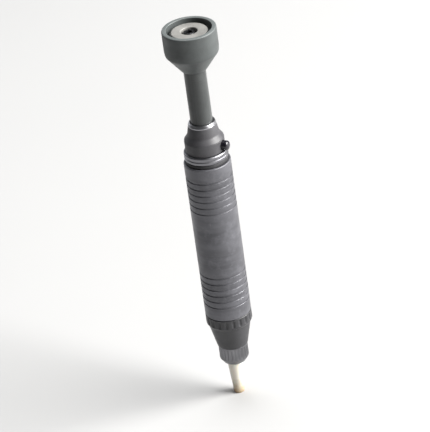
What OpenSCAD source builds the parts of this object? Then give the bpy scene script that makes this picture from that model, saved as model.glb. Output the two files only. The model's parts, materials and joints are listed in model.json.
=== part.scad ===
// Compact desoldering pump: a hand-held, spring-driven solder sucker.
// The pump's axis is Z: the thumb knob is up and the nozzle is down.
// The origin is on the axis, at the middle of the barrel's plain grip zone.
// The release button points along +X.

/* [Barrel] */
// Outer diameter of the barrel
barrel_d = 15.6; // [15.2:0.1:16.4]
// Diameter of the bore that the piston runs in
bore_d = 11.6; // [11.4:0.1:11.8]
// Length of the barrel tube
barrel_len = 58; // [54:1:70]
// Length of the plain zone in the middle of the barrel
grip_len = 24; // [16:1:28]

/* [Plunger] */
// Travel of the plunger from released to cocked
stroke = 14.5; // [12:0.5:15]
// Diameter of the stem that shows between the knob and the shoulder
stem_d = 7.3; // [7.2:0.1:7.4]
// Length of the stem that shows when the plunger is released
stem_show = 19; // [16:0.5:22]
// Diameter of the rod inside the stem
rod_d = 2.5; // [2.4:0.1:2.6]

/* [Thumb knob] */
// Diameter of the thumb knob
knob_d = 17.8; // [16:0.1:20]
// Height of the knob's straight wall
knob_h = 8.5; // [7.5:0.5:12]
// Depth of the dished top
knob_dish = 3; // [2:0.1:3.5]

/* [Release head] */
// Diameter of the section that holds the button
head_d = 13.2; // [13.2:0.1:14]
// Height of that section
head_h = 4; // [3.9:0.1:6]
// Height of the shoulder above that section
shoulder_h = 6.3; // [6:0.1:8]
// Diameter of the release button
button_d = 3.2; // [2.8:0.1:3.4]
// How far the button stands out of the head
button_proud = 2.2; // [1.2:0.1:2.4]
// How far the button can be pressed
button_travel = 0.8; // [0.6:0.1:0.8]

/* [Nose] */
// Length of the tapered nose below the barrel
nose_len = 13; // [11:1:16]
// Length of the exposed nozzle below its collar
nozzle_len = 13; // [10:1:15]
// Diameter of the nozzle's suction bore
suction_d = 2.5; // [2:0.1:3]

/* [Hidden] */
$fn = 96;
eps = 0.01;
snug = 0.03;          // radial gap between parts that are fixed together
running = 0.08;       // radial running gap of a sliding shaft
soft_edge = 0.4;      // usual chamfer

barrel_r = barrel_d / 2;
bore_r = bore_d / 2;
socket_r = bore_r + 0.45;          // counterbore at each end of the barrel
spigot_r = socket_r - 0.05;        // what plugs into a counterbore
barrel_top = barrel_len / 2;
barrel_bottom = -barrel_len / 2;
seat_bottom = barrel_top - 15;     // step in the barrel that carries the spring seat
seat_h = 4;
seat_top = seat_bottom + seat_h;
spring_pocket = 1;
nose_spigot_len = 13;

gasket_h = 1.3;
ring_h = 2.8;
ring_r = head_d / 2 + 0.7;
head_r = head_d / 2;
head_bottom = barrel_top + gasket_h + ring_h;
head_top = head_bottom + head_h;
shoulder_top = head_top + shoulder_h;
shoulder_waist_r = 5.35;           // where the steep foot of the slope ends
shoulder_waist_h = 1.8;
shoulder_lip_r = 4.3;
collar_h = 1.2;

stem_r = stem_d / 2;
stem_bore_r = stem_r + running;
stem_inner_r = 2.5;
rod_r = rod_d / 2;
rod_flat_depth = 0.35;
pin_r = 0.8;
knob_bottom = shoulder_top + stem_show;
knob_cone_h = 6.1;
knob_rim = knob_bottom + knob_cone_h;
knob_top = knob_rim + knob_h;
knob_r = knob_d / 2;
dish_r = knob_r - 1.6;
dish_floor = knob_top - knob_dish;
hub_r = stem_r + 0.55;
stem_socket = 3.3;                 // how far the stem goes up into the knob
stem_top = knob_bottom + stem_socket;
stem_bottom = seat_top + stroke + 1.5;
rod_top = stem_top + 6;
inlay_r = dish_r - 1.3;
inlay_h = 2;
inlay_hole_r = 2.7;
screw_r = 0.9;
screw_head_r = 1.9;
washer_h = 0.5;

bumper_h = 1.5;
piston_top = seat_bottom - bumper_h - 0.1;
piston_h = 8;
piston_bottom = piston_top - piston_h;
piston_r = bore_r - 0.3;
seal_cord_r = 0.75;
seal_r = bore_r - 0.05 - seal_cord_r;
piston_seal_z = piston_bottom + piston_h / 2;
nut_h = 2;
piston_washer_h = 0.8;
nut_bottom = piston_bottom - piston_washer_h - nut_h;
rod_bottom = nut_bottom - 0.6;

plate_h = 1.2;
plate_r = 5;
plate_offset = button_travel / 2;
button_z = head_bottom + head_h / 2;
plate_z = button_z - plate_h / 2;  // underside of the latch plate
button_tip = head_r + button_proud;
button_flange_r = button_d / 2 + 0.4;
cavity_r = head_r - 0.7;
cavity_flat = plate_r + 0.05;
cavity_floor = plate_z - 0.1;
notch_depth = 0.65;
notch_z = plate_z + stroke - 0.1;
notch_h = plate_h + 0.3;

nose_top = barrel_bottom + nose_spigot_len;
nose_end = barrel_bottom - nose_len;
neck_len = 4;
neck_r = 3.9;
nose_bore_r = 4.2;
chamber_end = nose_end + 2;
nozzle_seat_r = 3.05;
nozzle_collar_r = 5;
flange_h = 1.2;
neck_end = nose_end - neck_len;
collar_end = neck_end - flange_h - 1.8;
nozzle_tip = collar_end - nozzle_len;
nozzle_r = 2.7;
nozzle_tip_r = 1.75;
nozzle_shank = 7;
suction_r = suction_d / 2;
pin_reach = 1;                     // how far the cleaning pin stands out when cocked
pin_tip = nozzle_tip - pin_reach + stroke;
nose_seal_cord_r = 0.6;
nose_seal_r = socket_r - 0.02 - nose_seal_cord_r;
nose_seal_z = barrel_bottom + 5;

// A tube from z0 to z1
module tube(outer_r, inner_r, z0, z1) {
    difference() {
        post(outer_r, z0, z1);
        translate([0, 0, z0 - 1])
            cylinder(r = inner_r, h = z1 - z0 + 2);
    }
}

// A solid cylinder from z0 to z1
module post(r, z0, z1) {
    translate([0, 0, z0])
        cylinder(r = r, h = z1 - z0);
}

// A solid ring with a round section
module o_ring(ring_radius, cord_r, z) {
    translate([0, 0, z])
        rotate_extrude()
            translate([ring_radius, 0])
                circle(r = cord_r, $fn = 32);
}

// A groove turned into a shaft of radius r, depth deep and wide high
module turned_groove(r, z, depth, wide) {
    translate([0, 0, z - wide / 2])
        difference() {
            cylinder(r = r + 1, h = wide);
            translate([0, 0, -1])
                cylinder(r = r - depth, h = wide + 2);
        }
}

// One point of a coil's wire surface: step along the wire, corner round its section
function coil_point(radius, wire_r, turns, height, steps, corners, s, c) =
    let (turn = 360 * turns * s / steps,
         around = 360 * c / corners,
         reach = radius + wire_r * cos(around))
    [reach * cos(turn), reach * sin(turn), height * s / steps + wire_r * sin(around)];

// A helical compression spring standing on z = 0
module coil_spring(radius, wire_r, turns, height, steps_per_turn = 14, corners = 6) {
    steps = turns * steps_per_turn;
    rise = height - 2 * wire_r;
    points = [for (s = [0:steps], c = [0:corners - 1])
        coil_point(radius, wire_r, turns, rise, steps, corners, s, c)];
    sides = [for (s = [0:steps - 1], c = [0:corners - 1])
        [s * corners + c,
         (s + 1) * corners + c,
         (s + 1) * corners + (c + 1) % corners,
         s * corners + (c + 1) % corners]];
    first_end = [for (c = [0:corners - 1]) c];
    last_end = [for (c = [corners - 1:-1:0]) steps * corners + c];
    translate([0, 0, wire_r])
        polyhedron(points = points, faces = concat(sides, [first_end, last_end]));
}

// Anodised tube with a counterbore at each end and grooves outside the grip zone
module barrel() {
    groove_pitch = 2.3;
    groove_w = 0.7;
    groove_depth = 0.22;
    first_groove = (grip_len + groove_w) / 2;
    color("#77787e")
        difference() {
            rotate_extrude()
                polygon([
                    [bore_r, seat_bottom],
                    [socket_r, seat_bottom],
                    [socket_r, barrel_top],
                    [barrel_r - soft_edge, barrel_top],
                    [barrel_r, barrel_top - soft_edge],
                    [barrel_r, barrel_bottom + soft_edge],
                    [barrel_r - soft_edge, barrel_bottom],
                    [socket_r, barrel_bottom],
                    [socket_r, nose_top + 0.1],
                    [bore_r, nose_top + 0.1]]);
            for (side = [-1, 1], i = [0:5])
                turned_groove(barrel_r, side * (first_groove + i * groove_pitch), groove_depth, groove_w);
        }
}

// Tapered nose with a spigot for the barrel, a solder chamber and a neck for the collar
module nose_cone() {
    color("#4b4c50")
        difference() {
            union() {
                post(spigot_r, barrel_bottom - eps, nose_top);
                rotate_extrude()
                    polygon([
                        [0, barrel_bottom],
                        [barrel_r - soft_edge, barrel_bottom],
                        [barrel_r, barrel_bottom - soft_edge],
                        [barrel_r, barrel_bottom - 3.6],
                        [barrel_r - soft_edge, barrel_bottom - 4],
                        [nozzle_collar_r + 0.2, nose_end],
                        [neck_r, nose_end],
                        [neck_r, neck_end],
                        [0, neck_end]]);
            }
            post(nose_bore_r, chamber_end, nose_top + 1);
            post(nozzle_seat_r, neck_end - 1, chamber_end + eps);
            turned_groove(spigot_r, nose_seal_z, spigot_r - (nose_seal_r - nose_seal_cord_r - 0.02), 1.3);
            for (i = [0:19])
                rotate([0, 0, i * 18])
                    translate([barrel_r + 0.25, 0, barrel_bottom - 3.3])
                        cylinder(r = 0.6, h = 2.6, $fn = 24);
        }
}

module nose_o_ring() {
    color("#141414")
        o_ring(nose_seal_r, nose_seal_cord_r, nose_seal_z);
}

// Heat-proof tip: a shank in the nose, a flange under the collar and a tapered spout
module nozzle() {
    flange_r = neck_r - 0.05;
    color("#d9d4c6")
        difference() {
            rotate_extrude()
                polygon([
                    [0, neck_end + nozzle_shank],
                    [nozzle_seat_r - snug, neck_end + nozzle_shank],
                    [nozzle_seat_r - snug, neck_end],
                    [flange_r, neck_end],
                    [flange_r, neck_end - flange_h],
                    [nozzle_r, neck_end - flange_h],
                    [nozzle_r, collar_end - 1],
                    [nozzle_tip_r, nozzle_tip],
                    [0, nozzle_tip]]);
            post(suction_r, nozzle_tip - 1, collar_end);
            post(suction_r + 0.35, collar_end - eps, neck_end + nozzle_shank + 1);
        }
}

// Nut that clamps the nozzle's flange to the nose
module nozzle_collar() {
    shell_end = neck_end - flange_h;
    color("#a9abae")
        difference() {
            rotate_extrude()
                polygon([
                    [neck_r + snug, nose_end],
                    [nozzle_collar_r, nose_end],
                    [nozzle_collar_r, shell_end],
                    [nozzle_collar_r - 1.2, collar_end],
                    [nozzle_r + snug, collar_end],
                    [nozzle_r + snug, shell_end],
                    [neck_r + snug, shell_end]]);
            for (i = [0:23])
                rotate([0, 0, i * 15])
                    translate([nozzle_collar_r + 0.15, 0, shell_end + 0.5])
                        cylinder(r = 0.35, h = nose_end - shell_end - 1, $fn = 24);
        }
}

// Dark seal between the barrel and the trim ring
module barrel_gasket() {
    color("#161618")
        tube(ring_r - 0.2, spigot_r + snug, barrel_top, barrel_top + gasket_h);
}

// Bright lock ring at the top of the barrel
module trim_ring() {
    z0 = barrel_top + gasket_h;
    z1 = head_bottom;
    color("#b4b5b9")
        rotate_extrude()
            polygon([
                [spigot_r + snug, z0],
                [ring_r - soft_edge, z0],
                [ring_r, z0 + soft_edge],
                [ring_r, z1 - soft_edge],
                [ring_r - soft_edge, z1],
                [spigot_r + snug, z1]]);
}

// The plan of the latch cavity, grown inwards by gap
module cavity_plan(gap) {
    intersection() {
        circle(r = cavity_r - gap);
        square([4 * cavity_r, 2 * (cavity_flat - gap)], center = true);
    }
}

// Room behind the head's wall for the button's flange to move in
module flange_pocket() {
    translate([0, 0, button_z])
        rotate([0, 90, 0])
            cylinder(r = button_flange_r + 0.1, h = cavity_r, $fn = 64);
}

// Head that guides the stem and holds the latch, with a spigot that fills the barrel's socket
module release_housing() {
    color("#6f7074")
        difference() {
            union() {
                post(spigot_r, seat_top, head_bottom);
                rotate_extrude()
                    polygon([
                        [0, head_bottom],
                        [head_r - soft_edge, head_bottom],
                        [head_r, head_bottom + soft_edge],
                        [head_r, head_top],
                        [0, head_top]]);
            }
            post(stem_bore_r + 0.7, seat_top - 1, head_bottom);
            post(stem_bore_r, head_bottom - eps, head_top + 1);
            translate([0, 0, cavity_floor])
                linear_extrude(height = head_top)
                    cavity_plan(0);
            translate([0, 0, button_z])
                rotate([0, 90, 0])
                    cylinder(r = button_d / 2 + 0.1, h = head_d, $fn = 64);
            flange_pocket();
        }
}

// Sloping shoulder that closes the latch cavity and carries the stem collar
module shoulder_cap() {
    color("#6f7074")
        difference() {
            union() {
                rotate_extrude()
                    polygon([
                        [0, head_top],
                        [head_r, head_top],
                        [shoulder_waist_r, head_top + shoulder_waist_h],
                        [shoulder_lip_r + 0.35, shoulder_top - collar_h],
                        [0, shoulder_top - collar_h]]);
                translate([0, 0, plate_z + plate_h + 0.1])
                    linear_extrude(height = head_top - plate_z - plate_h)
                        cavity_plan(0.05);
            }
            post(stem_bore_r, plate_z, shoulder_top + 1);
            flange_pocket();
        }
}

// Polished ring round the hole that the stem slides through
module stem_collar() {
    z0 = shoulder_top - collar_h;
    color("#c2c3c6")
        rotate_extrude()
            polygon([
                [stem_bore_r, z0],
                [shoulder_lip_r + 0.35, z0],
                [shoulder_lip_r + 0.35, z0 + 0.3],
                [shoulder_lip_r, shoulder_top],
                [stem_bore_r, shoulder_top]]);
}

// Fixed disc under the release head: the spring stands on it and the rod is keyed by its flat
module spring_seat() {
    vent_r = 0.6;
    vent_circle_r = 3.3;
    color("#8b8d92")
        difference() {
            post(spigot_r, seat_bottom, seat_top);
            difference() {
                post(rod_r + running, seat_bottom - 1, seat_top + 1);
                translate([0, running, 0])
                    rod_flat(seat_bottom - 2, seat_top + 2);
            }
            post(2.4, seat_top - spring_pocket, seat_top + 1);
            for (i = [0:2])
                rotate([0, 0, 60 + 120 * i])
                    translate([vent_circle_r, 0, seat_bottom - 1])
                        cylinder(r = vent_r, h = seat_h + 2, $fn = 32);
        }
}

// Rubber ring that the piston stops against
module bumper() {
    color("#1b1b1c")
        tube(5.4, 4.2, seat_bottom - bumper_h, seat_bottom);
}

module main_spring() {
    wire_r = 0.3;
    coil_bottom = seat_top - spring_pocket;
    color("#b9bcc1")
        translate([0, 0, coil_bottom])
            coil_spring(1.9, wire_r, 18, stem_top - coil_bottom - 0.05);
}

// Flat strip that pushes the latch plate towards the button
module latch_spring() {
    color("#b9bcc1")
        translate([-(plate_r - plate_offset) - 0.2, -3.2, plate_z + 0.1])
            cube([0.15, 6.4, plate_h - 0.2]);
}

// Ring-shaped plate whose far edge drops into the stem's notch
module latch_plate() {
    hole_r = stem_r + 0.1;
    color("#9c9ea3")
        translate([0, 0, plate_z])
            linear_extrude(height = plate_h)
                difference() {
                    translate([plate_offset, 0])
                        circle(r = plate_r);
                    circle(r = hole_r);
                    translate([button_travel, 0])
                        circle(r = hole_r);
                    translate([0, -hole_r])
                        square([button_travel, 2 * hole_r]);
                }
}

// Domed button with a flange behind the housing's wall
module button() {
    foot = plate_r + plate_offset + 0.02;
    flange = 0.42;
    dome = 0.7;
    color("#121114")
        translate([0, 0, button_z])
            rotate([0, 90, 0])
                rotate_extrude()
                    polygon(concat(
                        [[0, foot], [button_flange_r, foot], [button_flange_r, foot + flange],
                         [button_d / 2, foot + flange]],
                        [for (a = [0:15:90])
                            [button_d / 2 * cos(a), button_tip - dome + dome * sin(a)]]));
}

// Sleeve between the knob and the release head, with the latch notch on its far side
module plunger_stem() {
    color("#57595d")
        difference() {
            tube(stem_r, stem_inner_r, stem_bottom, stem_top);
            translate([-stem_r - 1, -stem_r, notch_z])
                cube([1 + notch_depth, 2 * stem_r, notch_h]);
        }
}

// What is milled off the rod's +Y side from z0 to z1 to key it in the spring seat
module rod_flat(z0, z1) {
    translate([-rod_r - 1, rod_r - rod_flat_depth, z0])
        cube([2 * rod_r + 2, 2, z1 - z0]);
}

module piston_rod() {
    clip_z = piston_top + 0.25;
    color("#c9cbd0")
        difference() {
            post(rod_r, rod_bottom, rod_top);
            rod_flat(seat_bottom - 0.5, seat_top + stroke + 0.5);
            turned_groove(rod_r, clip_z, 0.3, 0.5);
            post(pin_r + 0.01, rod_bottom - 1, rod_bottom + 3);
            post(screw_r + 0.02, stem_top + 1, rod_top + 1);
        }
}

// Clip that keeps the piston from sliding up the rod
module piston_clip() {
    color("#8b8d92")
        difference() {
            tube(2.2, rod_r - 0.27, piston_top, piston_top + 0.5);
            translate([0, -0.9, piston_top - 1])
                cube([4, 1.8, 3]);
        }
}

module piston() {
    color("#e2dfd6")
        difference() {
            tube(piston_r, rod_r + snug, piston_bottom, piston_top);
            turned_groove(piston_r, piston_seal_z, piston_r - (seal_r - seal_cord_r - 0.02), 1.6);
        }
}

module piston_o_ring() {
    color("#141414")
        o_ring(seal_r, seal_cord_r, piston_seal_z);
}

module piston_washer() {
    color("#b9bcc1")
        tube(3.2, rod_r + snug, piston_bottom - piston_washer_h, piston_bottom);
}

module piston_nut() {
    z1 = piston_bottom - piston_washer_h;
    color("#c9a55a")
        difference() {
            translate([0, 0, nut_bottom])
                cylinder(r = 2.9, h = nut_h, $fn = 6);
            post(rod_r + snug, nut_bottom - 1, z1 + 1);
        }
}

// Needle that pushes solder out of the nozzle each time the pump is cocked
module cleaning_pin() {
    point = 1.2;
    color("#d3d4d7") {
        post(pin_r, pin_tip + point - eps, rod_bottom + 3);
        translate([0, 0, pin_tip])
            cylinder(r1 = 0.35, r2 = pin_r, h = point);
    }
}

// Thumb knob: a dished cup on a cone, with sockets for the stem and the rod
module knob() {
    color("#6d7174")
        rotate_extrude()
            polygon([
                [screw_r + 0.05, rod_top],
                [rod_r + snug, rod_top],
                [rod_r + snug, stem_top],
                [stem_r + snug, stem_top],
                [stem_r + snug, knob_bottom],
                [hub_r, knob_bottom],
                [knob_r - 0.3, knob_rim],
                [knob_r, knob_rim + 0.4],
                [knob_r, knob_top - 0.5],
                [knob_r - 0.5, knob_top],
                [dish_r + 0.3, knob_top],
                [dish_r, knob_top - 0.3],
                [dish_r, dish_floor],
                [screw_r + 0.05, dish_floor]]);
}

// Pale disc in the knob's dish
module knob_inlay() {
    top = dish_floor + inlay_h;
    color("#c9c3b8")
        rotate_extrude()
            polygon([
                [inlay_hole_r, dish_floor],
                [inlay_r, dish_floor],
                [inlay_r, top - 0.3],
                [inlay_r - 0.3, top],
                [inlay_hole_r + 0.3, top],
                [inlay_hole_r, top - 0.3]]);
}

module knob_washer() {
    color("#8b8d92")
        tube(2.4, screw_r + 0.05, dish_floor, dish_floor + washer_h);
}

// Socket-head screw that pulls the rod up against the knob
module knob_screw() {
    head_z = dish_floor + washer_h;
    head_h = 1.2;
    color("#2a2a2c")
        difference() {
            union() {
                post(screw_r, stem_top + 1.4, head_z + eps);
                post(screw_head_r, head_z, head_z + head_h);
            }
            translate([0, 0, head_z + head_h - 0.8])
                cylinder(r = 1.1, h = 2, $fn = 6);
        }
}

barrel();
nose_cone();
nose_o_ring();
nozzle();
nozzle_collar();
barrel_gasket();
trim_ring();
release_housing();
shoulder_cap();
stem_collar();
spring_seat();
bumper();
main_spring();
latch_spring();
latch_plate();
button();
plunger_stem();
piston_rod();
piston_clip();
piston();
piston_o_ring();
piston_washer();
piston_nut();
cleaning_pin();
knob();
knob_inlay();
knob_washer();
knob_screw();
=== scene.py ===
"""Looks of the desoldering pump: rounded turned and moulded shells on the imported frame.

Outlines are in millimetres, as (radius, height, corner radius). Heights and outer radii come from
the frame's own boxes, and only what a box doesn't show, such as a wall, is a number here.
"""

import json
import math

import bmesh
import bpy
from mathutils import Matrix, Vector


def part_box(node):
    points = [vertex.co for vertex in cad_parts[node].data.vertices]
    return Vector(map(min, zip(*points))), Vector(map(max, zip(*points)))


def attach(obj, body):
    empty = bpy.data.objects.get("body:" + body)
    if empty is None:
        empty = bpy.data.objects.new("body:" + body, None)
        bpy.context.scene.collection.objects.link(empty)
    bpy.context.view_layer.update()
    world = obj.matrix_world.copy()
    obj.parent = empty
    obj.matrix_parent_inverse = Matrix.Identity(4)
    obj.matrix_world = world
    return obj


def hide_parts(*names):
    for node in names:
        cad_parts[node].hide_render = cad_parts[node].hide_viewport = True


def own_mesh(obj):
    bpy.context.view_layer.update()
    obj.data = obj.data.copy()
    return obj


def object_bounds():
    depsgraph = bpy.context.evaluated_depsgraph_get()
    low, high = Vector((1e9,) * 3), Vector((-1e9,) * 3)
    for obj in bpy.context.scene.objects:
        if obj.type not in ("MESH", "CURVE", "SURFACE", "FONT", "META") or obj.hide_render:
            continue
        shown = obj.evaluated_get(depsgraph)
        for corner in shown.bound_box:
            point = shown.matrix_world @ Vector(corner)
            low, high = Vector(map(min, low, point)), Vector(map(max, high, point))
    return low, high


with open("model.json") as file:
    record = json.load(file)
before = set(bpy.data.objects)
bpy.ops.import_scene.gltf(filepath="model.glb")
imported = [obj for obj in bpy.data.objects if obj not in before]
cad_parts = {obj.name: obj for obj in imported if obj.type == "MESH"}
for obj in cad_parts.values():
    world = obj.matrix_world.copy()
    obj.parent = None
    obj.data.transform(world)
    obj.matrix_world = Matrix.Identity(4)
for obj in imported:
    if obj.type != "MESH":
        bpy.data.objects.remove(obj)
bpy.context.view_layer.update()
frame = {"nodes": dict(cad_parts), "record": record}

MM = 0.001
SEGMENTS = 168
CORNER_STEPS = 4
TINY_CORNER = 0.06
SUPPORT_GAP = 0.12          # from a corner's arc to the next point
WELD = 0.000002             # metres

STROKE = 14.5
SNUG = 0.03                 # gap of a fixed fit
RUNNING = 0.08              # gap round the sliding stem
HEAD_WALL = 0.7
NOZZLE_NECK = 2.7
NOZZLE_BORE = 1.25
NOZZLE_FLANGE = 1.2
STEM_BORE = 2.5
ROD = 1.25


# ---------------------------------------------------------------- sizes from the frame


def heights(node):
    """(lowest, highest) height of a CAD node, in millimetres."""
    low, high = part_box(node)
    return low[2] / MM, high[2] / MM


def radius(node):
    """Outer radius of a CAD node that is round about the pump's axis, in millimetres."""
    low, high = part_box(node)
    return (high[1] - low[1]) / 2 / MM


def button_height():
    """Height of the button's axis, in millimetres."""
    low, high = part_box("button")
    return (low[2] + high[2]) / 2 / MM


# ---------------------------------------------------------------- outlines and meshes


def corner_arc(before, corner, after):
    """The points of one rounded corner of an outline."""
    here = Vector(corner[:2])
    if not corner[2]:
        return [tuple(here)]
    back = Vector(before[:2]) - here
    ahead = Vector(after[:2]) - here
    room = 0.45 * min(back.length, ahead.length)
    back.normalize()
    ahead.normalize()
    half = back.angle(ahead) / 2
    if half > math.radians(89):
        return [tuple(here)]
    reach = min(corner[2] / math.tan(half), room)
    size = reach * math.tan(half)
    centre = here + (back + ahead).normalized() * (size / math.sin(half))
    start = here + back * reach - centre
    end = here + ahead * reach - centre
    turn = start.angle_signed(end)
    return [
        tuple(centre + Matrix.Rotation(-turn * i / CORNER_STEPS, 2) @ start)
        for i in range(CORNER_STEPS + 1)
    ]


def rounded(corners, closed, spacing):
    """An outline's points: arcs at its corners, and points along its straights.

    A point close to each arc keeps the smooth shading of a straight flat.
    """
    last = len(corners) - 1
    arcs = []
    for i, corner in enumerate(corners):
        if not closed and i in (0, last):
            arcs.append([corner[:2]])
        else:
            arcs.append(corner_arc(corners[i - 1], corner, corners[(i + 1) % len(corners)]))
    points = []
    for i, arc in enumerate(arcs):
        points.extend(arc)
        if not closed and i == last:
            break
        a = Vector(arc[-1])
        b = Vector(arcs[(i + 1) % len(arcs)][0])
        length = (b - a).length
        if length > 3 * SUPPORT_GAP:
            stops = [SUPPORT_GAP]
            count = max(1, round((length - 2 * SUPPORT_GAP) / spacing))
            stops += [SUPPORT_GAP + (length - 2 * SUPPORT_GAP) * k / count for k in range(1, count)]
            stops.append(length - SUPPORT_GAP)
            points.extend(tuple(a.lerp(b, s / length)) for s in stops)
    return points


def add_object(name, mesh):
    """A new object in the scene that holds a finished bmesh."""
    data = bpy.data.meshes.new(name)
    mesh.to_mesh(data)
    mesh.free()
    piece = bpy.data.objects.new(name, data)
    bpy.context.scene.collection.objects.link(piece)
    return piece


def turned(name, corners, closed=True, segments=None, spacing=2.0, shape=None):
    """A piece turned about the pump's axis. shape(angle, radius, height) may change the radius."""
    segments = segments or SEGMENTS
    points = rounded(corners, closed, spacing)
    mesh = bmesh.new()
    rows = []
    for i in range(segments):
        angle = 2 * math.pi * i / segments
        row = []
        for r, z in points:
            reach = shape(angle, r, z) if shape else r
            place = Vector((reach * math.cos(angle), reach * math.sin(angle), z)) * MM
            row.append(mesh.verts.new(place))
        rows.append(row)
    count = len(points)
    for i in range(segments):
        row, following = rows[i], rows[(i + 1) % segments]
        for k in range(count if closed else count - 1):
            nxt = (k + 1) % count
            mesh.faces.new((row[k], following[k], following[nxt], row[nxt]))
    bmesh.ops.remove_doubles(mesh, verts=mesh.verts, dist=1e-8)
    bmesh.ops.recalc_face_normals(mesh, faces=mesh.faces)
    for face in mesh.faces:
        face.smooth = True
    return add_object(name, mesh)


def swept(name, sections, smooth):
    """A solid through a row of equal sections, which are lists of points in millimetres."""
    mesh = bmesh.new()
    rings = [[mesh.verts.new(Vector(point) * MM) for point in section] for section in sections]
    for one, two in zip(rings, rings[1:]):
        for k in range(len(one)):
            nxt = (k + 1) % len(one)
            side = mesh.faces.new((one[k], one[nxt], two[nxt], two[k]))
            side.smooth = smooth
    mesh.faces.new(rings[0])
    mesh.faces.new(rings[-1])
    bmesh.ops.recalc_face_normals(mesh, faces=mesh.faces)
    return add_object(name, mesh)


def applied(piece):
    """Bakes a piece's modifiers into its mesh."""
    view = bpy.context.evaluated_depsgraph_get()
    finished = bpy.data.meshes.new_from_object(piece.evaluated_get(view))
    piece.modifiers.clear()
    piece.data = finished
    return piece


def carve(piece, cutter):
    """Cuts cutter's shape out of a piece and keeps the cut's edges crisp."""
    cut = piece.modifiers.new("cut", "BOOLEAN")
    cut.operation = "DIFFERENCE"
    cut.solver = "EXACT"
    cut.object = cutter
    applied(piece)
    bpy.data.objects.remove(cutter)
    welded = bmesh.new()
    welded.from_mesh(piece.data)
    bmesh.ops.remove_doubles(welded, verts=welded.verts, dist=WELD)
    bmesh.ops.dissolve_degenerate(welded, edges=welded.edges, dist=WELD)
    welded.to_mesh(piece.data)
    welded.free()
    piece.data.shade_smooth()
    piece.data.set_sharp_from_angle(angle=math.radians(35))
    return piece


def lay_along_x(piece, z):
    """Turns a piece made about Z so that it lies along +X at height z."""
    piece.data.transform(Matrix.Translation((0, 0, z * MM)) @ Matrix.Rotation(math.pi / 2, 4, "Y"))
    return piece


def fit(piece, body, slot, material, *replaced):
    """Gives a piece its body and material, and hides the CAD nodes that it stands for."""
    piece.data.materials.clear()
    piece.data.materials.append(material)
    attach(piece, body)
    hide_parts(*replaced)
    return piece


# ---------------------------------------------------------------- material nodes


class Finish:
    """A procedural material that is built up node by node, in the row frame's own coordinates."""

    def __init__(self, name):
        self.material = bpy.data.materials.new(name)
        self.material.use_nodes = True
        self.tree = self.material.node_tree
        self.shader = self.tree.nodes["Principled BSDF"]
        self.place = self.add("ShaderNodeTexCoord").outputs["Object"]
        self.normal = None

    def add(self, kind, **settings):
        node = self.tree.nodes.new(kind)
        for key, value in settings.items():
            setattr(node, key, value)
        return node

    def put(self, socket, value):
        if isinstance(value, bpy.types.NodeSocket):
            self.tree.links.new(value, socket)
        else:
            socket.default_value = value

    def set(self, **values):
        """Sets the shader's inputs; an underscore in a name stands for a space."""
        for key, value in values.items():
            self.put(self.shader.inputs[key.replace("_", " ")], value)

    def stretched(self, x, y, z, turn=0.0):
        """The place, stretched along each axis and turned about Z."""
        node = self.add("ShaderNodeMapping")
        node.inputs["Scale"].default_value = (x, y, z)
        node.inputs["Rotation"].default_value = (turn, 0.4 * turn, turn)
        self.put(node.inputs["Vector"], self.place)
        return node.outputs["Vector"]

    def noise(self, scale, detail=3.0, rough=0.55, where=None):
        node = self.add("ShaderNodeTexNoise")
        node.inputs["Scale"].default_value = scale
        node.inputs["Detail"].default_value = detail
        node.inputs["Roughness"].default_value = rough
        self.put(node.inputs["Vector"], where or self.place)
        return node.outputs["Fac"]

    def specks(self, scale, size):
        """1 in scattered round specks and 0 elsewhere."""
        node = self.add("ShaderNodeTexVoronoi")
        node.inputs["Scale"].default_value = scale
        self.put(node.inputs["Vector"], self.place)
        return self.window(node.outputs["Distance"], size, size * 0.6)

    def window(self, value, low, high):
        """value's share of the way from low to high, kept from 0 to 1."""
        node = self.add("ShaderNodeMapRange")
        node.inputs["From Min"].default_value = low
        node.inputs["From Max"].default_value = high
        self.put(node.inputs["Value"], value)
        return node.outputs["Result"]

    def spread(self, value, low, high):
        """Turns 0 to 1 into low to high."""
        node = self.add("ShaderNodeMapRange")
        node.inputs["To Min"].default_value = low
        node.inputs["To Max"].default_value = high
        self.put(node.inputs["Value"], value)
        return node.outputs["Result"]

    def maths(self, operation, a, b=0.0):
        node = self.add("ShaderNodeMath", operation=operation)
        self.put(node.inputs[0], a)
        self.put(node.inputs[1], b)
        return node.outputs[0]

    def mix(self, share, first, second):
        """A colour that goes from first to second with share."""
        node = self.add("ShaderNodeMix", data_type="RGBA")
        self.put(node.inputs["Factor"], share)
        self.put(node.inputs["A"], first if isinstance(first, bpy.types.NodeSocket) else (*first, 1))
        self.put(node.inputs["B"], second if isinstance(second, bpy.types.NodeSocket) else (*second, 1))
        return node.outputs["Result"]

    def edges(self, low=0.53, high=0.6):
        """1 on worn outer edges and 0 elsewhere."""
        return self.window(self.add("ShaderNodeNewGeometry").outputs["Pointiness"], low, high)

    def occlusion_shade(self, distance):
        """1 deep in corners and 0 in the open, from ambient occlusion: the mask of painted shade."""
        node = self.add("ShaderNodeAmbientOcclusion", samples=8)
        node.inputs["Distance"].default_value = distance
        return self.window(node.outputs["AO"], 0.75, 0.25)

    def height(self):
        """The height above the origin, in metres."""
        node = self.add("ShaderNodeSeparateXYZ")
        self.put(node.inputs[0], self.place)
        return node.outputs["Z"]

    def scratches(self, turn, density=0.7):
        """1 along fine straight scratches, which lie in groups, and 0 elsewhere."""
        lines = self.noise(1700, 2, 0.5, self.stretched(1, 1, 0.09, turn))
        fine = self.window(lines, density, density + 0.03)
        groups = self.window(self.noise(130, 2), 0.52, 0.66)
        return self.maths("MULTIPLY", fine, groups)

    def bump(self, value, strength, distance):
        """Adds one more layer of relief, distance metres high."""
        node = self.add("ShaderNodeBump")
        node.inputs["Strength"].default_value = strength
        node.inputs["Distance"].default_value = distance
        self.put(node.inputs["Height"], value)
        if self.normal:
            self.put(node.inputs["Normal"], self.normal)
        self.normal = node.outputs["Normal"]
        self.put(self.shader.inputs["Normal"], self.normal)


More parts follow.
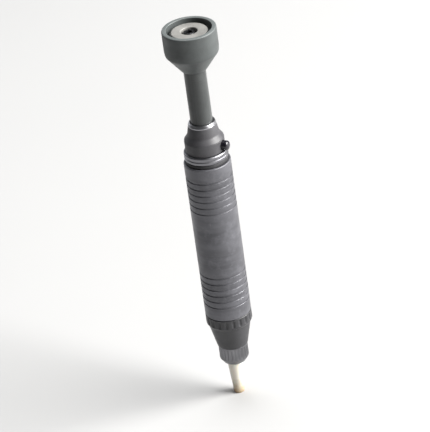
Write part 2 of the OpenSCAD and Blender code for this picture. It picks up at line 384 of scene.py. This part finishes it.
def shade(colour, factor):
    """A colour made lighter or darker."""
    return tuple(min(1.0, c * factor) for c in colour)


def moulded_plastic(name, colour, rough=0.48, grain=0.25, wear=0.5, rim=None, travel=False):
    """Moulded plastic: a fine spark grain, mottled colour, rubbed edges, painted shade in the corners.

    rim is the height, in millimetres, above which the surface is painted pale: thumb wear together with a
    painted highlight on the knob's upward-facing top.
    travel adds the fine lengthwise streaks of a surface that slides through a bore.
    """
    f = Finish(name)
    mottled = f.mix(f.window(f.noise(190, 5, 0.6), 0.35, 0.65), shade(colour, 0.8), shade(colour, 1.16))
    speckled = f.mix(f.window(f.noise(5200, 3, 0.7), 0.5, 0.72), mottled, shade(colour, 1.22))
    rubbed = f.maths("MULTIPLY", f.edges(), f.spread(f.noise(700, 3), 0.2, wear * 2))
    worn = f.mix(f.maths("MULTIPLY", rubbed, wear), speckled, shade(colour, 1.9))
    marked = f.mix(f.maths("MULTIPLY", f.scratches(0.5), 0.3), worn, shade(colour, 1.8))
    if travel:
        streaks = f.window(f.noise(900, 3, 0.6, f.stretched(1, 1, 0.04)), 0.48, 0.66)
        marked = f.mix(f.maths("MULTIPLY", streaks, 0.45), marked, shade(colour, 1.7))
    # Above rim the colour goes pale: thumb wear and a painted highlight on the top that faces the light.
    if rim:
        ragged = f.maths("ADD", f.height(), f.spread(f.noise(900, 4, 0.7), -0.0001, 0.0001))
        pale = f.window(ragged, (rim - 0.35) * MM, (rim - 0.12) * MM)
        marked = f.mix(f.maths("MULTIPLY", pale, 0.8), marked, shade(colour, 2.0))
    # Painted shade: the colour darkens where ambient occlusion finds corners and recesses.
    corner_shaded = f.mix(f.maths("MULTIPLY", f.occlusion_shade(0.0015), 0.45), marked, shade(colour, 0.45))
    smudges = f.window(f.noise(110, 5, 0.65), 0.42, 0.62)
    grainy = f.spread(f.noise(3000, 2), -0.05, 0.05)
    uneven = f.maths("ADD", f.spread(smudges, rough - 0.09, rough + 0.1), grainy)
    f.set(Base_Color=corner_shaded, Roughness=f.maths("SUBTRACT", uneven, f.maths("MULTIPLY", rubbed, 0.12)))
    f.set(IOR=1.49)
    f.bump(f.noise(7000, 2), grain, 0.00002)
    f.bump(f.noise(300, 2), 0.25, 0.00002)
    f.bump(f.scratches(0.5), -0.3, 0.00001)
    return f.material


def turned_metal(name, colour, rough=0.3, lines=0.35, wear=0.4, bare=(0.78, 0.78, 0.8), tarnish=0.2):
    """Machined metal: fine rings from turning, worn bright edges, smudges and scratches."""
    f = Finish(name)
    rings = f.noise(60, 3, 0.7, f.stretched(1, 1, 160))
    clouds = f.window(f.noise(140, 4), 0.35, 0.68)
    cloudy = f.mix(clouds, shade(colour, 1 - tarnish), shade(colour, 1 + tarnish / 2))
    ringed = f.mix(f.spread(rings, 0.0, 0.3), cloudy, shade(colour, 1.3))
    rubbed = f.maths("MULTIPLY", f.edges(), f.window(f.noise(900, 4, 0.7), 0.38, 0.58))
    worn = f.mix(f.maths("MULTIPLY", rubbed, wear), ringed, bare)
    scored = f.mix(f.maths("MULTIPLY", f.scratches(0.8), 0.4), worn, bare)
    # Painted shade: darker in corners and recesses, from ambient occlusion.
    crevice_shaded = f.mix(f.maths("MULTIPLY", f.occlusion_shade(0.001), 0.6), scored, shade(colour, 0.3))
    smudges = f.window(f.noise(90, 5, 0.65), 0.4, 0.65)
    uneven = f.maths("ADD", f.spread(smudges, rough - 0.06, rough + 0.1), f.spread(rings, -0.06, 0.06))
    f.set(Base_Color=crevice_shaded, Metallic=1.0, Roughness=uneven, IOR=1.5)
    f.bump(rings, lines, 0.000012)
    f.bump(f.scratches(0.8), -0.35, 0.00001)
    return f.material


def anodised(name, colour):
    """Satin anodised aluminium: a soft grey skin, handled dull in patches and rubbed on its edges."""
    f = Finish(name)
    bands = f.noise(34, 4, 0.6, f.stretched(1, 1, 9))
    base = f.mix(f.window(bands, 0.36, 0.66), shade(colour, 0.8), shade(colour, 1.16))
    blotchy = f.mix(f.window(f.noise(260, 5, 0.7), 0.48, 0.72), base, shade(colour, 1.35))
    rubbed = f.maths("MULTIPLY", f.edges(0.51, 0.57), f.window(f.noise(620, 4, 0.7), 0.42, 0.64))
    flecks = f.maths("MULTIPLY", f.specks(1300, 0.17), f.window(f.noise(190, 3), 0.54, 0.7))
    bare = shade(colour, 3.2)
    marks = f.maths("MAXIMUM", f.maths("MULTIPLY", rubbed, 0.5), f.maths("MULTIPLY", flecks, 0.4))
    bared = f.mix(marks, blotchy, bare)
    scored = f.mix(f.maths("MULTIPLY", f.scratches(0.6, 0.66), 0.3), bared, bare)
    # Painted shade: darker in corners and grooves, from ambient occlusion.
    crevice_shaded = f.mix(f.maths("MULTIPLY", f.occlusion_shade(0.0008), 0.8), scored, shade(colour, 0.2))
    grain = f.noise(80, 2, 0.6, f.stretched(1, 1, 90))
    smudges = f.window(f.noise(95, 5, 0.7), 0.4, 0.62)
    uneven = f.maths("ADD", f.spread(smudges, 0.34, 0.52), f.spread(grain, -0.05, 0.05))
    f.set(Base_Color=crevice_shaded, Metallic=0.45, Roughness=uneven, IOR=1.5)
    f.bump(f.noise(9000, 2), 0.25, 0.00001)
    f.bump(grain, 0.2, 0.000008)
    f.bump(f.scratches(0.6, 0.66), -0.3, 0.00001)
    return f.material


def black_rubber(name, colour=(0.02, 0.02, 0.022)):
    """Seal rubber: matte, a little grey where it has dried."""
    f = Finish(name)
    dry = f.window(f.noise(420, 5, 0.7), 0.45, 0.75)
    f.set(Base_Color=f.mix(dry, colour, shade(colour, 2.4)))
    f.set(Roughness=f.spread(f.noise(1500, 3), 0.6, 0.85), IOR=1.52)
    f.bump(f.noise(5000, 3), 0.4, 0.00002)
    f.bump(f.noise(900, 2), 0.2, 0.00002)
    return f.material


def glossy_button(name, colour=(0.006, 0.005, 0.009)):
    """Dark polished plastic with a fingertip's haze and hairline scratches."""
    f = Finish(name)
    haze = f.window(f.noise(520, 5, 0.6), 0.4, 0.68)
    tinted = f.mix(f.maths("MULTIPLY", haze, 0.5), colour, shade(colour, 2.6))
    f.set(Base_Color=f.mix(f.maths("MULTIPLY", f.scratches(0.9, 0.66), 0.3), tinted, shade(colour, 6)))
    f.set(Roughness=f.spread(haze, 0.16, 0.34), IOR=1.5, Coat_Weight=0.3, Coat_Roughness=0.12)
    f.bump(f.noise(1800, 3), 0.12, 0.00001)
    f.bump(f.scratches(0.9, 0.66), -0.2, 0.000006)
    return f.material


def heated_nozzle(name, tip, top, colour=(0.73, 0.70, 0.61)):
    """Waxy heat-proof polymer that browns towards its tip, with flux stains and a trace of solder."""
    f = Finish(name)
    near_tip = f.window(f.height(), top * MM, tip * MM)
    ragged = f.maths("ADD", near_tip, f.spread(f.noise(650, 5, 0.7), -0.22, 0.22))
    toasted = f.mix(f.window(ragged, 0.55, 0.95), colour, (0.42, 0.29, 0.15))
    burnt = f.mix(f.window(ragged, 0.92, 1.12), toasted, (0.07, 0.045, 0.03))
    blots = f.window(f.noise(1100, 6, 0.75), 0.58, 0.66)
    flux = f.maths("MULTIPLY", blots, f.window(near_tip, 0.4, 0.85))
    stained = f.mix(f.maths("MULTIPLY", flux, 0.7), burnt, (0.2, 0.11, 0.04))
    cloudy = f.mix(f.window(f.noise(220, 4), 0.35, 0.7), stained, shade(colour, 0.8))
    blended = f.mix(0.3, stained, cloudy)
    f.set(Base_Color=blended, Roughness=f.spread(f.noise(420, 4, 0.65), 0.32, 0.5), IOR=1.38)
    f.set(Subsurface_Weight=0.12, Subsurface_Scale=0.0012)
    f.bump(f.noise(40, 3, 0.6, f.stretched(1, 1, 130)), 0.2, 0.00001)
    f.bump(flux, 0.6, 0.00003)
    f.bump(f.noise(2600, 3), 0.2, 0.00001)
    return f.material


MATERIALS = {
    "barrel": anodised("barrel_anodised", (0.105, 0.105, 0.116)),
    "nose": moulded_plastic("nose_plastic", (0.032, 0.032, 0.035), rough=0.46, wear=0.45),
    "seal": black_rubber("seal_rubber"),
    "nozzle": heated_nozzle("nozzle_polymer", heights("nozzle")[0], heights("nozzle_collar")[0]),
    "nozzle_collar": turned_metal("collar_aluminium", (0.18, 0.18, 0.19), rough=0.36, lines=0.5),
    "trim_ring": turned_metal("ring_aluminium", (0.22, 0.22, 0.236), rough=0.42, lines=0.45),
    "head": moulded_plastic("head_plastic", (0.054, 0.053, 0.058), rough=0.56, grain=0.3, wear=0.6),
    "stem_collar": turned_metal("stem_collar_chrome", (0.4, 0.4, 0.42), rough=0.32, lines=0.2, wear=0.2),
    "inner_metal": turned_metal("inner_steel", (0.4, 0.4, 0.415), rough=0.42, lines=0.6),
    "spring_steel": turned_metal("spring_wire", (0.45, 0.45, 0.47), rough=0.34, lines=0.15),
    "button": glossy_button("button_plastic"),
    "stem": moulded_plastic("stem_plastic", (0.038, 0.041, 0.041), rough=0.38, grain=0.15, wear=0.4,
                            travel=True),
    "piston": moulded_plastic("piston_plastic", (0.72, 0.7, 0.64), rough=0.4, wear=0.1),
    "brass": turned_metal("nut_brass", (0.66, 0.46, 0.17), bare=(0.85, 0.66, 0.32), tarnish=0.35),
    "knob": moulded_plastic("knob_plastic", (0.055, 0.061, 0.061), rough=0.5, grain=0.35, wear=0.8,
                            rim=heights("knob")[1]),
    "knob_inlay": moulded_plastic("inlay_plastic", (0.2, 0.196, 0.186), rough=0.45, grain=0.2, wear=0.3),
    "screw": turned_metal("screw_black_oxide", (0.03, 0.03, 0.032), rough=0.42, wear=0.5,
                          bare=(0.4, 0.4, 0.42)),
}


# ---------------------------------------------------------------- pieces of the body


def make_barrel():
    """The tube: a socket at each end, and six grip grooves near each end."""
    bottom, top = heights("barrel")
    outer = radius("barrel")
    socket = radius("spring_seat") + 0.05
    bore = socket - 0.45
    seat = heights("spring_seat")[0]
    nose_top = heights("nose_cone")[1] + 0.1
    grip, width, depth, pitch = 12.35, 0.7, 0.22, 2.3
    corners = [(socket, top, 0.1), (outer, top, 0.35)]
    places = sorted((side * (grip + i * pitch) for side in (-1, 1) for i in range(6)), reverse=True)
    for z in places:
        corners += [(outer, z + width / 2, 0.09), (outer - depth, z + width / 2, 0.09)]
        corners += [(outer - depth, z - width / 2, 0.09), (outer, z - width / 2, 0.09)]
    corners += [(outer, bottom, 0.35), (socket, bottom, 0.1), (socket, nose_top, TINY_CORNER)]
    corners += [(bore, nose_top, TINY_CORNER), (bore, seat, TINY_CORNER), (socket, seat, TINY_CORNER)]
    fit(turned("barrel_tube", corners), "pump", "barrel", MATERIALS["barrel"], "barrel")


def flutes(count, depth, low, high, sharpness=1.0):
    """A shape for turned(): count flutes cut between two heights, fading out at both ends."""
    fade = 0.35

    def cut(angle, r, z):
        window = min(1.0, max(0.0, (z - low) / fade), max(0.0, (high - z) / fade))
        wave = (0.5 + 0.5 * math.cos(count * angle)) ** sharpness
        return r - depth * window * wave

    return cut


def make_nose():
    """The cone that catches the solder, with a fluted rim to pull it off by."""
    bottom, top = heights("nose_cone")
    end = heights("nozzle_collar")[1]
    rim = heights("barrel")[0]
    outer = radius("nose_cone")
    spigot = radius("spring_seat")
    neck = radius("nozzle") + 0.05
    chamber, seat = 4.2, 3.05
    ring_z = rim + 5
    groove = 1.22
    grip_low = rim - 3.6
    corners = [
        (chamber, top, 0.3), (spigot, top, 0.3),
        (spigot, ring_z + 0.65, 0.08), (spigot - groove, ring_z + 0.65, 0.08),
        (spigot - groove, ring_z - 0.65, 0.08), (spigot, ring_z - 0.65, 0.08),
        (spigot, rim, TINY_CORNER), (outer, rim, 0.3), (outer, grip_low, 0.5),
        (outer - 0.55, grip_low - 0.5, 1.2), (5.25, end, 0.15), (neck, end, TINY_CORNER),
        (neck, bottom, 0.2), (seat, bottom, 0.1), (seat, end + 2, TINY_CORNER), (chamber, end + 2, 0.1),
    ]
    count = 20
    shape = flutes(count, 0.34, grip_low + 0.35, rim - 0.35, 3.0)

    def only_outside(angle, r, z):
        return shape(angle, r, z) if r > outer - 0.2 else r

    segments = count * SEGMENTS // 10
    piece = turned("nose_shell", corners, segments=segments, spacing=0.4, shape=only_outside)
    fit(piece, "pump", "nose", MATERIALS["nose"], "nose_cone")


def make_nozzle():
    """The hollow tip: a neck, a flange for the collar and a spigot up into the nose."""
    tip, top = heights("nozzle")
    collar_end = heights("nozzle_collar")[0]
    neck_end = heights("nose_cone")[0]
    flange = radius("nozzle")
    spigot, upper_bore = 3.02, 1.6
    corners = [
        (NOZZLE_BORE, tip, 0.12), (1.75, tip, 0.25), (NOZZLE_NECK, collar_end - 1, 3.0),
        (NOZZLE_NECK, neck_end - NOZZLE_FLANGE, TINY_CORNER),
        (flange, neck_end - NOZZLE_FLANGE, 0.15), (flange, neck_end, 0.15),
        (spigot, neck_end, TINY_CORNER), (spigot, top, 0.3), (upper_bore, top, 0.2),
        (upper_bore, collar_end, 0.2), (NOZZLE_BORE, collar_end, 0.2),
    ]
    fit(turned("nozzle_tip", corners, spacing=0.6), "pump", "nozzle", MATERIALS["nozzle"], "nozzle")


def make_nozzle_collar():
    """The fluted nut that holds the nozzle's flange against the nose."""
    end, top = heights("nozzle_collar")
    shell_end = heights("nose_cone")[0] - NOZZLE_FLANGE
    outer = radius("nozzle_collar")
    neck = radius("nozzle") + 0.05 + SNUG
    corners = [
        (neck, top, 0.1), (outer, top, 0.3), (outer, shell_end, 0.3), (outer - 1.2, end, 0.3),
        (NOZZLE_NECK + SNUG, end, 0.1), (NOZZLE_NECK + SNUG, shell_end, TINY_CORNER),
        (neck, shell_end, TINY_CORNER),
    ]
    count = 24
    shape = flutes(count, 0.27, shell_end + 0.4, top - 0.5, 2.0)

    def only_outside(angle, r, z):
        return shape(angle, r, z) if r > outer - 0.1 else r

    segments = count * SEGMENTS // 12
    piece = turned("collar_nut", corners, segments=segments, spacing=0.35, shape=only_outside)
    fit(piece, "pump", "nozzle_collar", MATERIALS["nozzle_collar"], "nozzle_collar")


def make_gasket():
    """The dark seal between the barrel and the trim ring."""
    low, high = heights("barrel_gasket")
    outer = radius("barrel_gasket")
    inner = radius("spring_seat") + SNUG
    corners = [(inner, low, 0.1), (outer, low, 0.35), (outer, high, 0.35), (inner, high, 0.1)]
    fit(turned("gasket_ring", corners), "pump", "seal", MATERIALS["seal"], "barrel_gasket")


def make_trim_ring():
    """The polished ring with a narrow groove round its middle."""
    low, high = heights("trim_ring")
    outer = radius("trim_ring")
    inner = radius("spring_seat") + SNUG
    middle = (low + high) / 2
    groove = outer - 0.22
    corners = [
        (inner, low, 0.1), (outer - 0.25, low, 0.2), (outer, low + 0.35, 0.3),
        (outer, middle - 0.3, 0.1), (groove, middle - 0.15, 0.1),
        (groove, middle + 0.15, 0.1), (outer, middle + 0.3, 0.1),
        (outer, high - 0.35, 0.3), (outer - 0.25, high, 0.2), (inner, high, 0.1),
    ]
    fit(turned("lock_ring", corners), "pump", "trim_ring", MATERIALS["trim_ring"], "trim_ring")


def button_hole(z, size):
    """A cutter for the button's hole, flared where it meets the head's surface."""
    surface = radius("release_housing")
    corners = [
        (0, 4.3, 0), (size + 0.4, 4.3, TINY_CORNER), (size + 0.4, 5.9, TINY_CORNER),
        (size, 5.9, TINY_CORNER), (size, surface - 0.15, 0.08), (size + 0.14, surface + 0.1, 0.08),
        (size + 0.14, surface + 2, TINY_CORNER), (0, surface + 2, 0),
    ]
    return lay_along_x(turned("hole_cutter", corners, closed=False, segments=72), z)


def make_release_housing():
    """The head's straight section, with the latch's cavity and the button's hole."""
    bottom, top = heights("release_housing")
    ring_top = heights("trim_ring")[1]
    outer = radius("release_housing")
    spigot = radius("spring_seat")
    stem = radius("plunger_stem") + RUNNING
    cavity = outer - HEAD_WALL
    floor = heights("latch_plate")[0] - 0.1
    corners = [
        (stem + 0.7, bottom, 0.15), (spigot, bottom, 0.2), (spigot, ring_top, TINY_CORNER),
        (outer, ring_top, 0.25), (outer, top, 0.14), (cavity, top, TINY_CORNER),
        (cavity, floor, TINY_CORNER), (stem, floor, TINY_CORNER), (stem, ring_top, 0.1),
        (stem + 0.7, ring_top, 0.1),
    ]
    piece = carve(turned("release_head", corners), button_hole(button_height(), 1.7))
    fit(piece, "pump", "head", MATERIALS["head"], "release_housing")


def make_shoulder():
    """The sloping cap that narrows to the stem's collar, with a pocket for the button's flange."""
    bottom, top = heights("shoulder_cap")
    seam = heights("release_housing")[1]
    outer = radius("shoulder_cap")
    stem = radius("plunger_stem") + RUNNING
    lip = radius("stem_collar")
    inside = outer - 0.75
    waist, waist_rise = 5.35, 1.8
    corners = [
        (stem, bottom, TINY_CORNER), (inside, bottom, TINY_CORNER), (inside, seam, TINY_CORNER),
        (outer, seam, 0.14), (outer - 0.08, seam + 0.25, 0.3), (waist, seam + waist_rise, 1.5),
        (lip, top, 0.12), (stem, top, TINY_CORNER),
    ]
    reach, depth = 2.1, outer - HEAD_WALL
    pocket = [(0, 0, 0), (reach, 0, TINY_CORNER), (reach, depth, TINY_CORNER), (0, depth, 0)]
    cutter = turned("pocket_cutter", pocket, closed=False, segments=48)
    piece = carve(turned("shoulder_cone", corners, spacing=1.0), lay_along_x(cutter, button_height()))
    fit(piece, "pump", "head", MATERIALS["head"], "shoulder_cap")


def make_stem_collar():
    """The bright ring round the hole that the stem goes into."""
    low, high = heights("stem_collar")
    outer = radius("stem_collar")
    stem = radius("plunger_stem") + RUNNING
    corners = [
        (stem, low, TINY_CORNER), (outer, low, 0.1), (outer, low + 0.3, 0.15),
        (outer - 0.35, high, 0.3), (stem, high, 0.15),
    ]
    fit(turned("stem_bush", corners), "pump", "stem_collar", MATERIALS["stem_collar"], "stem_collar")


def make_main_spring():
    """A round wire coil, built at one length, for the spring that shortens with the plunger."""
    low, high = heights("main_spring")
    wire, coil, turns = 0.3, 1.9, 18
    steps = turns * 36
    sides = 12
    sections = []
    for i in range(steps + 1):
        share = i / steps
        angle = 2 * math.pi * turns * share
        z = low + wire + (high - low - 2 * wire) * share
        section = []
        for k in range(sides):
            around = 2 * math.pi * k / sides
            reach = coil + wire * math.cos(around)
            section.append((reach * math.cos(angle), reach * math.sin(angle), z + wire * math.sin(around)))
        sections.append(section)
    piece = swept("spring_coil", sections, smooth=True)
    fit(piece, "pump", "spring_steel", MATERIALS["spring_steel"], "main_spring")
    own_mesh(piece)


def make_latch_spring():
    """A bowed leaf between the head's wall and the latch plate, built in one shape, for the spring that
    flattens as the button goes in.
    """
    low, high = heights("latch_spring")
    wall = radius("release_housing") - HEAD_WALL
    half, thick, gap, steps = 1.6, 0.15, 0.03, 24
    back = -math.sqrt(wall ** 2 - half ** 2) + thick + gap
    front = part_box("latch_plate")[0][0] / MM - gap
    sections = []
    for i in range(steps + 1):
        share = 2 * i / steps - 1
        x = front + (back - front) * share ** 2
        y = half * share
        sections.append([(x, y, low), (x, y, high), (x - thick, y, high), (x - thick, y, low)])
    piece = swept("leaf_spring", sections, smooth=False)
    fit(piece, "pump", "spring_steel", MATERIALS["spring_steel"], "latch_spring")
    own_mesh(piece)


# ---------------------------------------------------------------- pieces of the plunger and button


def make_knob():
    """The thumb knob: a cone up to a straight rim, with a dish on top and sockets below."""
    bottom, top = heights("knob")
    outer = radius("knob")
    stem = radius("plunger_stem") + SNUG
    rod = ROD + SNUG
    screw = 0.95
    hub = stem + 0.52
    rim = bottom + 6.1
    dish = outer - 1.6
    floor = heights("knob_inlay")[0]
    socket = heights("plunger_stem")[1]
    rod_top = heights("piston_rod")[1]
    corners = [
        (screw, rod_top, TINY_CORNER), (rod, rod_top, TINY_CORNER), (rod, socket, TINY_CORNER),
        (stem, socket, TINY_CORNER), (stem, bottom, 0.1), (hub, bottom, 0.25), (outer - 0.15, rim, 1.3),
        (outer, rim + 1.6, 0.8), (outer, top, 0.45), (dish + 0.15, top, 0.22), (dish, floor, 0.5),
        (screw, floor, TINY_CORNER),
    ]
    fit(turned("thumb_knob", corners, spacing=1.0), "plunger", "knob", MATERIALS["knob"], "knob")


def make_knob_inlay():
    """The pale disc in the knob's dish."""
    low, high = heights("knob_inlay")
    outer = radius("knob_inlay")
    hole = 2.7
    corners = [(hole, low, TINY_CORNER), (outer, low, 0.1), (outer, high, 0.35), (hole, high, 0.3)]
    piece = turned("inlay_disc", corners, spacing=0.8)
    fit(piece, "plunger", "knob_inlay", MATERIALS["knob_inlay"], "knob_inlay")


def make_knob_screw():
    """A socket-head screw with a hexagonal recess."""
    low, high = heights("knob_screw")
    head = high - 1.2
    shank, cap = 0.9, 1.9
    corners = [
        (0, low, 0), (shank, low, 0.2), (shank, head, TINY_CORNER), (cap, head, 0.1),
        (cap, high, 0.28), (0, high, 0),
    ]
    piece = turned("socket_screw", corners, closed=False, segments=96)
    hexagon = [(0, high - 0.8, 0), (1.1, high - 0.8, 0), (1.1, high + 1, 0), (0, high + 1, 0)]
    piece = carve(piece, turned("hex_cutter", hexagon, closed=False, segments=6, spacing=9))
    fit(piece, "plunger", "screw", MATERIALS["screw"], "knob_screw")


def make_stem():
    """The bare sleeve under the knob, with the latch's notch on its far side."""
    bottom, top = heights("plunger_stem")
    outer = radius("plunger_stem")
    corners = [(STEM_BORE, bottom, 0.15), (outer, bottom, 0.4), (outer, top, 0.2), (STEM_BORE, top, 0.1)]
    piece = turned("stem_sleeve", corners, spacing=1.5)
    plate_low, plate_high = heights("latch_plate")
    low, high = plate_low + STROKE - 0.1, plate_high + STROKE + 0.2
    notch_depth = 0.65
    block = bmesh.new()
    bmesh.ops.create_cube(block, size=1.0)
    size = Matrix.Diagonal((2.0, 9.0, high - low, 1))
    place = Matrix.Translation((-outer - 1 + notch_depth, 0, (low + high) / 2))
    bmesh.ops.transform(block, matrix=Matrix.Scale(MM, 4) @ place @ size, verts=block.verts)
    bmesh.ops.bevel(block, geom=block.edges, offset=0.15 * MM, segments=3, affect="EDGES")
    piece = carve(piece, add_object("notch_cutter", block))
    fit(piece, "plunger", "stem", MATERIALS["stem"], "plunger_stem")


def make_button():
    """The domed button, with the flange that keeps it in the head."""
    low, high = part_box("button")
    foot, tip = low[0] / MM, high[0] / MM
    flange, size, dome, dome_steps = 2.0, 1.6, 0.75, 8
    step_up = foot + 0.42
    corners = [(0, foot, 0), (flange, foot, 0.1), (flange, step_up, 0.1), (size, step_up, TINY_CORNER)]
    for step in range(dome_steps):
        angle = math.radians(90 * step / dome_steps)
        corners.append((size * math.cos(angle), tip - dome + dome * math.sin(angle), 0.3))
    corners.append((0, tip, 0))
    piece = lay_along_x(turned("release_button", corners, closed=False, segments=96), button_height())
    fit(piece, "release", "button", MATERIALS["button"], "button")


def paint_inner_nodes():
    """The hidden CAD pieces keep their shapes and get the finish of their slot."""
    slots = {s["node"]: s["material_slot"] for s in frame["record"]["subparts"]}
    for name, node in frame["nodes"].items():
        if not node.hide_render:
            node.data.materials.clear()
            node.data.materials.append(MATERIALS[slots[name]])


# ---------------------------------------------------------------- floor, light and camera

VIEW_FROM = 28.0          # degrees round from -Y towards +X
VIEW_DOWN = 29.5          # degrees below the horizontal
VIEW_DISTANCE = 0.9
VIEW_ROLL = 8.0           # degrees that the top leans to the left
VIEW_HEIGHT = 0.143       # height of the view at the pump


def view_axes():
    """Unit vectors from the pump to the camera and to the view's right."""
    round_, down = math.radians(VIEW_FROM), math.radians(VIEW_DOWN)
    plan = Vector((math.sin(round_), -math.cos(round_), 0))
    towards = plan * math.cos(down) + Vector((0, 0, math.sin(down)))
    right = Vector((0, 0, 1)).cross(plan)
    return towards.normalized(), right.normalized()


def look_at(thing, place, target, roll=0.0):
    """Puts a camera or a light at place, facing target."""
    thing.location = place
    facing = (target - place).to_track_quat("-Z", "Y").to_matrix().to_4x4()
    thing.rotation_euler = (facing @ Matrix.Rotation(math.radians(roll), 4, "Z")).to_euler()


def make_camera(centre):
    """A long lens from VIEW_DISTANCE away, so that the view's height at the pump is VIEW_HEIGHT."""
    data = bpy.data.cameras.new("camera")
    data.sensor_fit = "VERTICAL"
    data.sensor_height = 36
    data.lens = data.sensor_height * VIEW_DISTANCE / VIEW_HEIGHT
    data.clip_start = 0.01
    camera = bpy.data.objects.new("camera", data)
    bpy.context.scene.collection.objects.link(camera)
    towards = view_axes()[0]
    look_at(camera, centre + towards * VIEW_DISTANCE, centre, -VIEW_ROLL)
    bpy.context.scene.camera = camera
    bpy.context.scene.view_settings.view_transform = "Standard"


def soft_light(name, centre, offset, size, power, tint):
    """A round area light at centre + offset that faces the centre."""
    data = bpy.data.lights.new(name, "AREA")
    data.shape = "DISK"
    data.size = size
    data.energy = power
    data.color = tint
    light = bpy.data.objects.new(name, data)
    bpy.context.scene.collection.objects.link(light)
    look_at(light, centre + offset, centre)


def make_studio():
    """The floor, the lights and the camera."""
    low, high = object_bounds()
    centre = Vector((0, 0, (low[2] + high[2]) / 2))
    mesh = bmesh.new()
    bmesh.ops.create_grid(mesh, x_segments=8, y_segments=8, size=3.0)
    floor = add_object("floor", mesh)
    floor.location.z = low[2]
    finish = Finish("floor_paper")
    finish.set(Base_Color=finish.mix(finish.noise(4), (0.4, 0.4, 0.4), (0.43, 0.43, 0.43)))
    finish.set(Roughness=0.9, IOR=1.3)
    floor.data.materials.append(finish.material)
    world = bpy.data.worlds.new("studio")
    world.use_nodes = True
    world.node_tree.nodes["Background"].inputs["Color"].default_value = (0.95, 0.97, 1.0, 1)
    world.node_tree.nodes["Background"].inputs["Strength"].default_value = 0.07
    bpy.context.scene.world = world
    towards, right = view_axes()
    plan = Vector((towards.x, towards.y, 0)).normalized()
    above = Vector((0, 0, 1))
    warm, cool, white = (1.0, 0.99, 0.97), (0.95, 0.97, 1.0), (1, 1, 1)
    soft_light("key", centre, right * 1.12 + plan * 0.24 + above * 0.68, 1.1, 68.0, warm)
    soft_light("fill", centre, -right * 0.7 - plan * 1.1 + above * 0.5, 1.2, 4.5, cool)
    soft_light("top", centre, above * 1.5 - plan * 0.3, 0.8, 17.0, white)
    make_camera(centre)


make_barrel()
make_nose()
make_nozzle()
make_nozzle_collar()
make_gasket()
make_trim_ring()
make_release_housing()
make_shoulder()
make_stem_collar()
make_main_spring()
make_latch_spring()
make_knob()
make_knob_inlay()
make_knob_screw()
make_stem()
make_button()
paint_inner_nodes()
make_studio()

bpy.context.view_layer.update()
